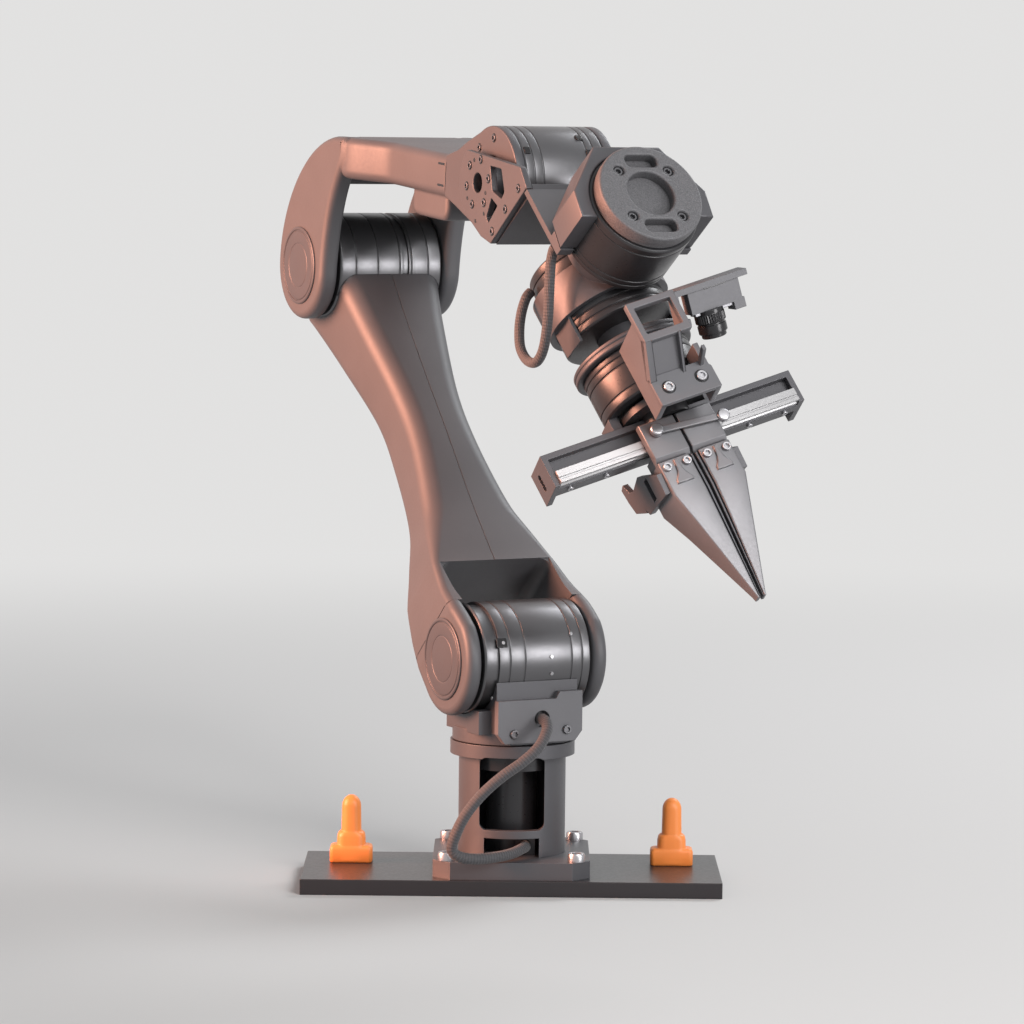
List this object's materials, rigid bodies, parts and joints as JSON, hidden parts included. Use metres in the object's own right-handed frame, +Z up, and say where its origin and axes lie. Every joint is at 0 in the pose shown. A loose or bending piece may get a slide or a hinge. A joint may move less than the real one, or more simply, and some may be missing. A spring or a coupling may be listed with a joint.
{
  "type": "desktop six-axis robot arm with rail gripper",
  "caption": "Jointed desktop robot arm on a base plate, with a windowed pedestal, hourglass upper arm, gooseneck forearm, wrist and a rail gripper with camera.",
  "frame": {"origin": "centre of the base plate's underside, on the base yaw axis", "axes": "+Z up, +X along the base plate's long side, -Y is the front that the picture shows"},
  "size_m": [0.2727, 0.3527, 0.3885],
  "materials": {
    "black_metal": "satin",
    "orange_plastic": "satin",
    "charcoal_metal": "matt anodised",
    "charcoal_shell": "matt",
    "motor_black": "satin",
    "cable_black": "braided",
    "textured_cap": "grained",
    "rail_steel": "ground",
    "lens_black": "satin"
  },
  "bodies": {
    "base": {"base_plate": "black_metal", "left_post": "orange_plastic", "right_post": "orange_plastic", "base_flange": "charcoal_metal", "pedestal": "charcoal_metal", "yaw_drive": "motor_black", "base_cable": "cable_black"},
    "turret": {"turret": "charcoal_metal", "saddle_plate": "charcoal_metal", "shoulder_motor": "motor_black"},
    "upper_arm": {"upper_arm_shell": "charcoal_shell", "left_shoulder_cap": "charcoal_shell", "right_shoulder_cap": "charcoal_shell", "elbow_motor": "motor_black"},
    "forearm": {"forearm_beam": "charcoal_shell", "left_elbow_cheek": "charcoal_shell", "right_elbow_cheek": "charcoal_shell", "left_elbow_cap": "charcoal_shell", "right_elbow_cap": "charcoal_shell", "left_wrist_lobe": "charcoal_metal", "right_wrist_lobe": "charcoal_metal", "pitch_motor": "motor_black"},
    "wrist_pitch_link": {"left_pitch_plate": "charcoal_metal", "right_pitch_plate": "charcoal_metal", "cross_plate": "charcoal_metal", "yaw_collar": "charcoal_metal", "yaw_cap": "textured_cap", "yaw_motor": "motor_black"},
    "wrist_yaw_link": {"roll_yoke": "charcoal_metal", "roll_motor": "motor_black", "wrist_cable": "cable_black"},
    "gripper": {"roll_flange": "charcoal_metal", "gripper_motor": "motor_black", "rail_frame": "charcoal_metal", "steel_rail": "rail_steel", "crank_disc": "motor_black", "camera_bracket": "charcoal_metal", "camera_body": "charcoal_metal", "camera_lens": "lens_black"},
    "left_finger_slide": {"left_finger": "charcoal_shell", "left_carriage": "charcoal_metal", "left_clip": "charcoal_metal"},
    "right_finger_slide": {"right_finger": "charcoal_shell", "right_carriage": "charcoal_metal", "right_clip": "charcoal_metal"}
  },
  "joints": [
    {"name": "base_yaw", "type": "hinge", "parent": "base", "child": "turret", "pos_m": [0, 0, 0.075], "axis": [0, 0, 1], "range_deg": [-150, 150], "deforming": ["base_cable"]},
    {"name": "shoulder_pitch", "type": "hinge", "parent": "turret", "child": "upper_arm", "pos_m": [0, 0, 0.118], "axis": [0.891, 0.454, 0], "range_deg": [-45, 75]},
    {"name": "elbow_pitch", "type": "hinge", "parent": "upper_arm", "child": "forearm", "pos_m": [-0.08097, 0.15892, 0.31264], "axis": [-0.891, -0.454, 0], "range_deg": [-25, 130]},
    {"name": "wrist_pitch", "type": "hinge", "parent": "forearm", "child": "wrist_pitch_link", "pos_m": [0.0116, -0.02277, 0.36005], "axis": [-0.891, -0.454, 0], "range_deg": [-24, 140]},
    {"name": "wrist_yaw", "type": "hinge", "parent": "wrist_pitch_link", "child": "wrist_yaw_link", "pos_m": [0.03563, -0.06993, 0.3141], "axis": [0.3719, -0.7299, 0.5736], "range_deg": [-102, 78], "deforming": ["wrist_cable"]},
    {"name": "wrist_roll", "type": "hinge", "parent": "wrist_yaw_link", "child": "gripper", "pos_m": [0.03563, -0.06993, 0.3141], "axis": [0.44, -0.4055, -0.8013], "range_deg": [-132, 108]},
    {"name": "finger_open", "type": "slide", "parent": "gripper", "child": "left_finger_slide", "axis": [-0.8769, -0.3866, -0.2858], "range_m": [0, 0.045]},
    {"name": "finger_follow", "type": "slide", "parent": "gripper", "child": "right_finger_slide", "axis": [0.8769, 0.3866, 0.2858], "range_m": [0, 0.045]}
  ],
  "couplings": [
    {"joint": "finger_follow", "follows": "finger_open", "ratio": 1}
  ]
}
